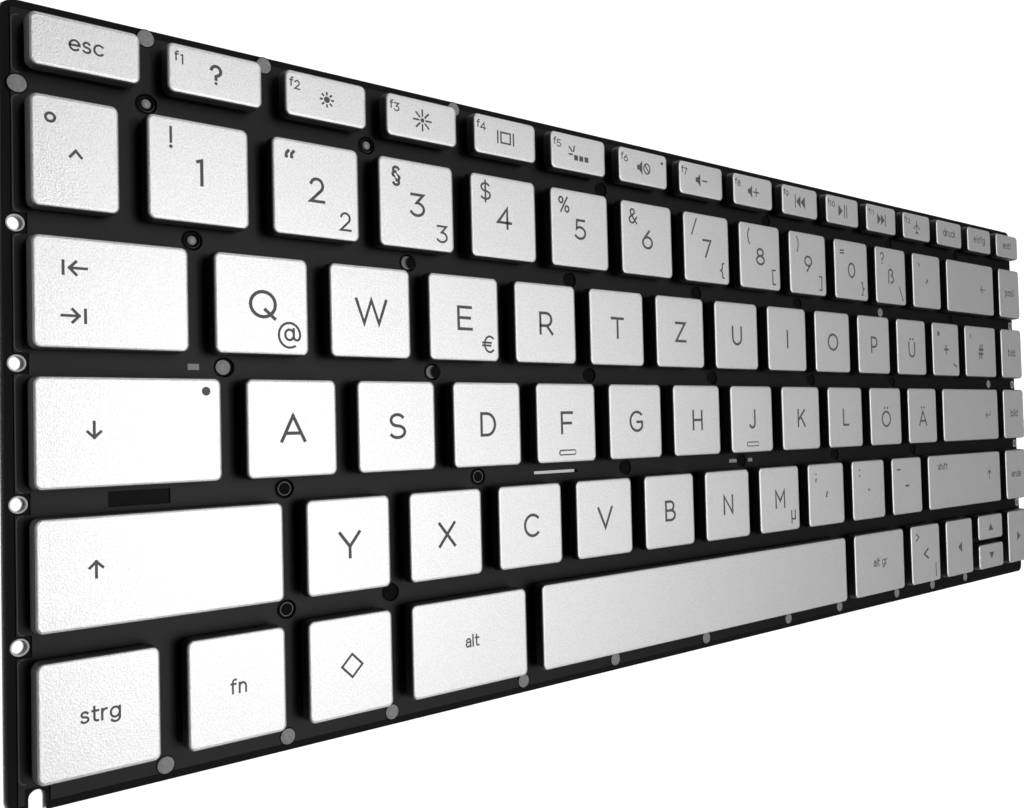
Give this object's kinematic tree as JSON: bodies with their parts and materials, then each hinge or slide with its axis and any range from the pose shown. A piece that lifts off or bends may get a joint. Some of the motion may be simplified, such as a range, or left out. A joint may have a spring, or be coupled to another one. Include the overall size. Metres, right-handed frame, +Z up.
{
  "type": "laptop keyboard module",
  "caption": "Bare laptop keyboard: thin steel plate and black film carrying rows of silver scissor keys that travel down and spring back, with screw holes along both side margins.",
  "frame": {"origin": "under the middle of the plate, on the face that the module rests on", "axes": "+X along the key rows to the right, +Y away from the user, +Z up out of the keys"},
  "size_m": [0.2904, 0.108, 0.0048],
  "materials": {
    "silver_caps": "satin silver paint on black moulded caps",
    "black_steel": "matt black paint on stamped sheet",
    "black_film": "matt black printed film",
    "light_guide": "milky film with a white reflector",
    "dome_rubber": "dark silicone",
    "link_plastic": "black moulded"
  },
  "bodies": {
    "base": {"backlight_panel": "light_guide", "base_plate": "black_steel", "membrane_circuit": "black_film", "rubber_domes": "dome_rubber", "scissor_outer_links": "link_plastic", "scissor_inner_links": "link_plastic", "function_row_keys": "silver_caps", "navigation_keys": "silver_caps", "modifier_keys": "silver_caps"},
    "key_caret": {"key_caret": "silver_caps"},
    "key_1": {"key_1": "silver_caps"},
    "key_2": {"key_2": "silver_caps"},
    "key_3": {"key_3": "silver_caps"},
    "key_4": {"key_4": "silver_caps"},
    "key_5": {"key_5": "silver_caps"},
    "key_6": {"key_6": "silver_caps"},
    "key_7": {"key_7": "silver_caps"},
    "key_8": {"key_8": "silver_caps"},
    "key_9": {"key_9": "silver_caps"},
    "key_0": {"key_0": "silver_caps"},
    "key_sharp_s": {"key_sharp_s": "silver_caps"},
    "key_acute": {"key_acute": "silver_caps"},
    "key_backspace": {"key_backspace": "silver_caps"},
    "key_q": {"key_q": "silver_caps"},
    "key_w": {"key_w": "silver_caps"},
    "key_e": {"key_e": "silver_caps"},
    "key_r": {"key_r": "silver_caps"},
    "key_t": {"key_t": "silver_caps"},
    "key_z": {"key_z": "silver_caps"},
    "key_u": {"key_u": "silver_caps"},
    "key_i": {"key_i": "silver_caps"},
    "key_o": {"key_o": "silver_caps"},
    "key_p": {"key_p": "silver_caps"},
    "key_umlaut_u": {"key_umlaut_u": "silver_caps"},
    "key_plus": {"key_plus": "silver_caps"},
    "key_hash": {"key_hash": "silver_caps"},
    "key_a": {"key_a": "silver_caps"},
    "key_s": {"key_s": "silver_caps"},
    "key_d": {"key_d": "silver_caps"},
    "key_f": {"key_f": "silver_caps"},
    "key_g": {"key_g": "silver_caps"},
    "key_h": {"key_h": "silver_caps"},
    "key_j": {"key_j": "silver_caps"},
    "key_k": {"key_k": "silver_caps"},
    "key_l": {"key_l": "silver_caps"},
    "key_umlaut_o": {"key_umlaut_o": "silver_caps"},
    "key_umlaut_a": {"key_umlaut_a": "silver_caps"},
    "key_enter": {"key_enter": "silver_caps"},
    "key_y": {"key_y": "silver_caps"},
    "key_x": {"key_x": "silver_caps"},
    "key_c": {"key_c": "silver_caps"},
    "key_v": {"key_v": "silver_caps"},
    "key_b": {"key_b": "silver_caps"},
    "key_n": {"key_n": "silver_caps"},
    "key_m": {"key_m": "silver_caps"},
    "key_comma": {"key_comma": "silver_caps"},
    "key_period": {"key_period": "silver_caps"},
    "key_minus": {"key_minus": "silver_caps"},
    "key_space": {"key_space": "silver_caps"},
    "key_angle": {"key_angle": "silver_caps"}
  },
  "joints": [
    {"name": "key_caret_press", "type": "slide", "parent": "base", "child": "key_caret", "axis": [0, 0, -1], "range_m": [0, 0.0013], "stiffness_N_per_m": 300, "springref_m": -0.001, "deforming": ["rubber_domes", "scissor_outer_links", "scissor_inner_links"]},
    {"name": "key_1_press", "type": "slide", "parent": "base", "child": "key_1", "axis": [0, 0, -1], "range_m": [0, 0.0013], "stiffness_N_per_m": 300, "springref_m": -0.001, "deforming": ["rubber_domes", "scissor_outer_links", "scissor_inner_links"]},
    {"name": "key_2_press", "type": "slide", "parent": "base", "child": "key_2", "axis": [0, 0, -1], "range_m": [0, 0.0013], "stiffness_N_per_m": 300, "springref_m": -0.001, "deforming": ["rubber_domes", "scissor_outer_links", "scissor_inner_links"]},
    {"name": "key_3_press", "type": "slide", "parent": "base", "child": "key_3", "axis": [0, 0, -1], "range_m": [0, 0.0013], "stiffness_N_per_m": 300, "springref_m": -0.001, "deforming": ["rubber_domes", "scissor_outer_links", "scissor_inner_links"]},
    {"name": "key_4_press", "type": "slide", "parent": "base", "child": "key_4", "axis": [0, 0, -1], "range_m": [0, 0.0013], "stiffness_N_per_m": 300, "springref_m": -0.001, "deforming": ["rubber_domes", "scissor_outer_links", "scissor_inner_links"]},
    {"name": "key_5_press", "type": "slide", "parent": "base", "child": "key_5", "axis": [0, 0, -1], "range_m": [0, 0.0013], "stiffness_N_per_m": 300, "springref_m": -0.001, "deforming": ["rubber_domes", "scissor_outer_links", "scissor_inner_links"]},
    {"name": "key_6_press", "type": "slide", "parent": "base", "child": "key_6", "axis": [0, 0, -1], "range_m": [0, 0.0013], "stiffness_N_per_m": 300, "springref_m": -0.001, "deforming": ["rubber_domes", "scissor_outer_links", "scissor_inner_links"]},
    {"name": "key_7_press", "type": "slide", "parent": "base", "child": "key_7", "axis": [0, 0, -1], "range_m": [0, 0.0013], "stiffness_N_per_m": 300, "springref_m": -0.001, "deforming": ["rubber_domes", "scissor_outer_links", "scissor_inner_links"]},
    {"name": "key_8_press", "type": "slide", "parent": "base", "child": "key_8", "axis": [0, 0, -1], "range_m": [0, 0.0013], "stiffness_N_per_m": 300, "springref_m": -0.001, "deforming": ["rubber_domes", "scissor_outer_links", "scissor_inner_links"]},
    {"name": "key_9_press", "type": "slide", "parent": "base", "child": "key_9", "axis": [0, 0, -1], "range_m": [0, 0.0013], "stiffness_N_per_m": 300, "springref_m": -0.001, "deforming": ["rubber_domes", "scissor_outer_links", "scissor_inner_links"]},
    {"name": "key_0_press", "type": "slide", "parent": "base", "child": "key_0", "axis": [0, 0, -1], "range_m": [0, 0.0013], "stiffness_N_per_m": 300, "springref_m": -0.001, "deforming": ["rubber_domes", "scissor_outer_links", "scissor_inner_links"]},
    {"name": "key_sharp_s_press", "type": "slide", "parent": "base", "child": "key_sharp_s", "axis": [0, 0, -1], "range_m": [0, 0.0013], "stiffness_N_per_m": 300, "springref_m": -0.001, "deforming": ["rubber_domes", "scissor_outer_links", "scissor_inner_links"]},
    {"name": "key_acute_press", "type": "slide", "parent": "base", "child": "key_acute", "axis": [0, 0, -1], "range_m": [0, 0.0013], "stiffness_N_per_m": 300, "springref_m": -0.001, "deforming": ["rubber_domes", "scissor_outer_links", "scissor_inner_links"]},
    {"name": "key_backspace_press", "type": "slide", "parent": "base", "child": "key_backspace", "axis": [0, 0, -1], "range_m": [0, 0.0013], "stiffness_N_per_m": 300, "springref_m": -0.001, "deforming": ["rubber_domes", "scissor_outer_links", "scissor_inner_links"]},
    {"name": "key_q_press", "type": "slide", "parent": "base", "child": "key_q", "axis": [0, 0, -1], "range_m": [0, 0.0013], "stiffness_N_per_m": 300, "springref_m": -0.001, "deforming": ["rubber_domes", "scissor_outer_links", "scissor_inner_links"]},
    {"name": "key_w_press", "type": "slide", "parent": "base", "child": "key_w", "axis": [0, 0, -1], "range_m": [0, 0.0013], "stiffness_N_per_m": 300, "springref_m": -0.001, "deforming": ["rubber_domes", "scissor_outer_links", "scissor_inner_links"]},
    {"name": "key_e_press", "type": "slide", "parent": "base", "child": "key_e", "axis": [0, 0, -1], "range_m": [0, 0.0013], "stiffness_N_per_m": 300, "springref_m": -0.001, "deforming": ["rubber_domes", "scissor_outer_links", "scissor_inner_links"]},
    {"name": "key_r_press", "type": "slide", "parent": "base", "child": "key_r", "axis": [0, 0, -1], "range_m": [0, 0.0013], "stiffness_N_per_m": 300, "springref_m": -0.001, "deforming": ["rubber_domes", "scissor_outer_links", "scissor_inner_links"]},
    {"name": "key_t_press", "type": "slide", "parent": "base", "child": "key_t", "axis": [0, 0, -1], "range_m": [0, 0.0013], "stiffness_N_per_m": 300, "springref_m": -0.001, "deforming": ["rubber_domes", "scissor_outer_links", "scissor_inner_links"]},
    {"name": "key_z_press", "type": "slide", "parent": "base", "child": "key_z", "axis": [0, 0, -1], "range_m": [0, 0.0013], "stiffness_N_per_m": 300, "springref_m": -0.001, "deforming": ["rubber_domes", "scissor_outer_links", "scissor_inner_links"]},
    {"name": "key_u_press", "type": "slide", "parent": "base", "child": "key_u", "axis": [0, 0, -1], "range_m": [0, 0.0013], "stiffness_N_per_m": 300, "springref_m": -0.001, "deforming": ["rubber_domes", "scissor_outer_links", "scissor_inner_links"]},
    {"name": "key_i_press", "type": "slide", "parent": "base", "child": "key_i", "axis": [0, 0, -1], "range_m": [0, 0.0013], "stiffness_N_per_m": 300, "springref_m": -0.001, "deforming": ["rubber_domes", "scissor_outer_links", "scissor_inner_links"]},
    {"name": "key_o_press", "type": "slide", "parent": "base", "child": "key_o", "axis": [0, 0, -1], "range_m": [0, 0.0013], "stiffness_N_per_m": 300, "springref_m": -0.001, "deforming": ["rubber_domes", "scissor_outer_links", "scissor_inner_links"]},
    {"name": "key_p_press", "type": "slide", "parent": "base", "child": "key_p", "axis": [0, 0, -1], "range_m": [0, 0.0013], "stiffness_N_per_m": 300, "springref_m": -0.001, "deforming": ["rubber_domes", "scissor_outer_links", "scissor_inner_links"]},
    {"name": "key_umlaut_u_press", "type": "slide", "parent": "base", "child": "key_umlaut_u", "axis": [0, 0, -1], "range_m": [0, 0.0013], "stiffness_N_per_m": 300, "springref_m": -0.001, "deforming": ["rubber_domes", "scissor_outer_links", "scissor_inner_links"]},
    {"name": "key_plus_press", "type": "slide", "parent": "base", "child": "key_plus", "axis": [0, 0, -1], "range_m": [0, 0.0013], "stiffness_N_per_m": 300, "springref_m": -0.001, "deforming": ["rubber_domes", "scissor_outer_links", "scissor_inner_links"]},
    {"name": "key_hash_press", "type": "slide", "parent": "base", "child": "key_hash", "axis": [0, 0, -1], "range_m": [0, 0.0013], "stiffness_N_per_m": 300, "springref_m": -0.001, "deforming": ["rubber_domes", "scissor_outer_links", "scissor_inner_links"]},
    {"name": "key_a_press", "type": "slide", "parent": "base", "child": "key_a", "axis": [0, 0, -1], "range_m": [0, 0.0013], "stiffness_N_per_m": 300, "springref_m": -0.001, "deforming": ["rubber_domes", "scissor_outer_links", "scissor_inner_links"]},
    {"name": "key_s_press", "type": "slide", "parent": "base", "child": "key_s", "axis": [0, 0, -1], "range_m": [0, 0.0013], "stiffness_N_per_m": 300, "springref_m": -0.001, "deforming": ["rubber_domes", "scissor_outer_links", "scissor_inner_links"]},
    {"name": "key_d_press", "type": "slide", "parent": "base", "child": "key_d", "axis": [0, 0, -1], "range_m": [0, 0.0013], "stiffness_N_per_m": 300, "springref_m": -0.001, "deforming": ["rubber_domes", "scissor_outer_links", "scissor_inner_links"]},
    {"name": "key_f_press", "type": "slide", "parent": "base", "child": "key_f", "axis": [0, 0, -1], "range_m": [0, 0.0013], "stiffness_N_per_m": 300, "springref_m": -0.001, "deforming": ["rubber_domes", "scissor_outer_links", "scissor_inner_links"]},
    {"name": "key_g_press", "type": "slide", "parent": "base", "child": "key_g", "axis": [0, 0, -1], "range_m": [0, 0.0013], "stiffness_N_per_m": 300, "springref_m": -0.001, "deforming": ["rubber_domes", "scissor_outer_links", "scissor_inner_links"]},
    {"name": "key_h_press", "type": "slide", "parent": "base", "child": "key_h", "axis": [0, 0, -1], "range_m": [0, 0.0013], "stiffness_N_per_m": 300, "springref_m": -0.001, "deforming": ["rubber_domes", "scissor_outer_links", "scissor_inner_links"]},
    {"name": "key_j_press", "type": "slide", "parent": "base", "child": "key_j", "axis": [0, 0, -1], "range_m": [0, 0.0013], "stiffness_N_per_m": 300, "springref_m": -0.001, "deforming": ["rubber_domes", "scissor_outer_links", "scissor_inner_links"]},
    {"name": "key_k_press", "type": "slide", "parent": "base", "child": "key_k", "axis": [0, 0, -1], "range_m": [0, 0.0013], "stiffness_N_per_m": 300, "springref_m": -0.001, "deforming": ["rubber_domes", "scissor_outer_links", "scissor_inner_links"]},
    {"name": "key_l_press", "type": "slide", "parent": "base", "child": "key_l", "axis": [0, 0, -1], "range_m": [0, 0.0013], "stiffness_N_per_m": 300, "springref_m": -0.001, "deforming": ["rubber_domes", "scissor_outer_links", "scissor_inner_links"]},
    {"name": "key_umlaut_o_press", "type": "slide", "parent": "base", "child": "key_umlaut_o", "axis": [0, 0, -1], "range_m": [0, 0.0013], "stiffness_N_per_m": 300, "springref_m": -0.001, "deforming": ["rubber_domes", "scissor_outer_links", "scissor_inner_links"]},
    {"name": "key_umlaut_a_press", "type": "slide", "parent": "base", "child": "key_umlaut_a", "axis": [0, 0, -1], "range_m": [0, 0.0013], "stiffness_N_per_m": 300, "springref_m": -0.001, "deforming": ["rubber_domes", "scissor_outer_links", "scissor_inner_links"]},
    {"name": "key_enter_press", "type": "slide", "parent": "base", "child": "key_enter", "axis": [0, 0, -1], "range_m": [0, 0.0013], "stiffness_N_per_m": 300, "springref_m": -0.001, "deforming": ["rubber_domes", "scissor_outer_links", "scissor_inner_links"]},
    {"name": "key_y_press", "type": "slide", "parent": "base", "child": "key_y", "axis": [0, 0, -1], "range_m": [0, 0.0013], "stiffness_N_per_m": 300, "springref_m": -0.001, "deforming": ["rubber_domes", "scissor_outer_links", "scissor_inner_links"]},
    {"name": "key_x_press", "type": "slide", "parent": "base", "child": "key_x", "axis": [0, 0, -1], "range_m": [0, 0.0013], "stiffness_N_per_m": 300, "springref_m": -0.001, "deforming": ["rubber_domes", "scissor_outer_links", "scissor_inner_links"]},
    {"name": "key_c_press", "type": "slide", "parent": "base", "child": "key_c", "axis": [0, 0, -1], "range_m": [0, 0.0013], "stiffness_N_per_m": 300, "springref_m": -0.001, "deforming": ["rubber_domes", "scissor_outer_links", "scissor_inner_links"]},
    {"name": "key_v_press", "type": "slide", "parent": "base", "child": "key_v", "axis": [0, 0, -1], "range_m": [0, 0.0013], "stiffness_N_per_m": 300, "springref_m": -0.001, "deforming": ["rubber_domes", "scissor_outer_links", "scissor_inner_links"]},
    {"name": "key_b_press", "type": "slide", "parent": "base", "child": "key_b", "axis": [0, 0, -1], "range_m": [0, 0.0013], "stiffness_N_per_m": 300, "springref_m": -0.001, "deforming": ["rubber_domes", "scissor_outer_links", "scissor_inner_links"]},
    {"name": "key_n_press", "type": "slide", "parent": "base", "child": "key_n", "axis": [0, 0, -1], "range_m": [0, 0.0013], "stiffness_N_per_m": 300, "springref_m": -0.001, "deforming": ["rubber_domes", "scissor_outer_links", "scissor_inner_links"]},
    {"name": "key_m_press", "type": "slide", "parent": "base", "child": "key_m", "axis": [0, 0, -1], "range_m": [0, 0.0013], "stiffness_N_per_m": 300, "springref_m": -0.001, "deforming": ["rubber_domes", "scissor_outer_links", "scissor_inner_links"]},
    {"name": "key_comma_press", "type": "slide", "parent": "base", "child": "key_comma", "axis": [0, 0, -1], "range_m": [0, 0.0013], "stiffness_N_per_m": 300, "springref_m": -0.001, "deforming": ["rubber_domes", "scissor_outer_links", "scissor_inner_links"]},
    {"name": "key_period_press", "type": "slide", "parent": "base", "child": "key_period", "axis": [0, 0, -1], "range_m": [0, 0.0013], "stiffness_N_per_m": 300, "springref_m": -0.001, "deforming": ["rubber_domes", "scissor_outer_links", "scissor_inner_links"]},
    {"name": "key_minus_press", "type": "slide", "parent": "base", "child": "key_minus", "axis": [0, 0, -1], "range_m": [0, 0.0013], "stiffness_N_per_m": 300, "springref_m": -0.001, "deforming": ["rubber_domes", "scissor_outer_links", "scissor_inner_links"]},
    {"name": "key_space_press", "type": "slide", "parent": "base", "child": "key_space", "axis": [0, 0, -1], "range_m": [0, 0.0013], "stiffness_N_per_m": 300, "springref_m": -0.001, "deforming": ["rubber_domes", "scissor_outer_links", "scissor_inner_links"]},
    {"name": "key_angle_press", "type": "slide", "parent": "base", "child": "key_angle", "axis": [0, 0, -1], "range_m": [0, 0.0013], "stiffness_N_per_m": 300, "springref_m": -0.001, "deforming": ["rubber_domes", "scissor_outer_links", "scissor_inner_links"]}
  ]
}
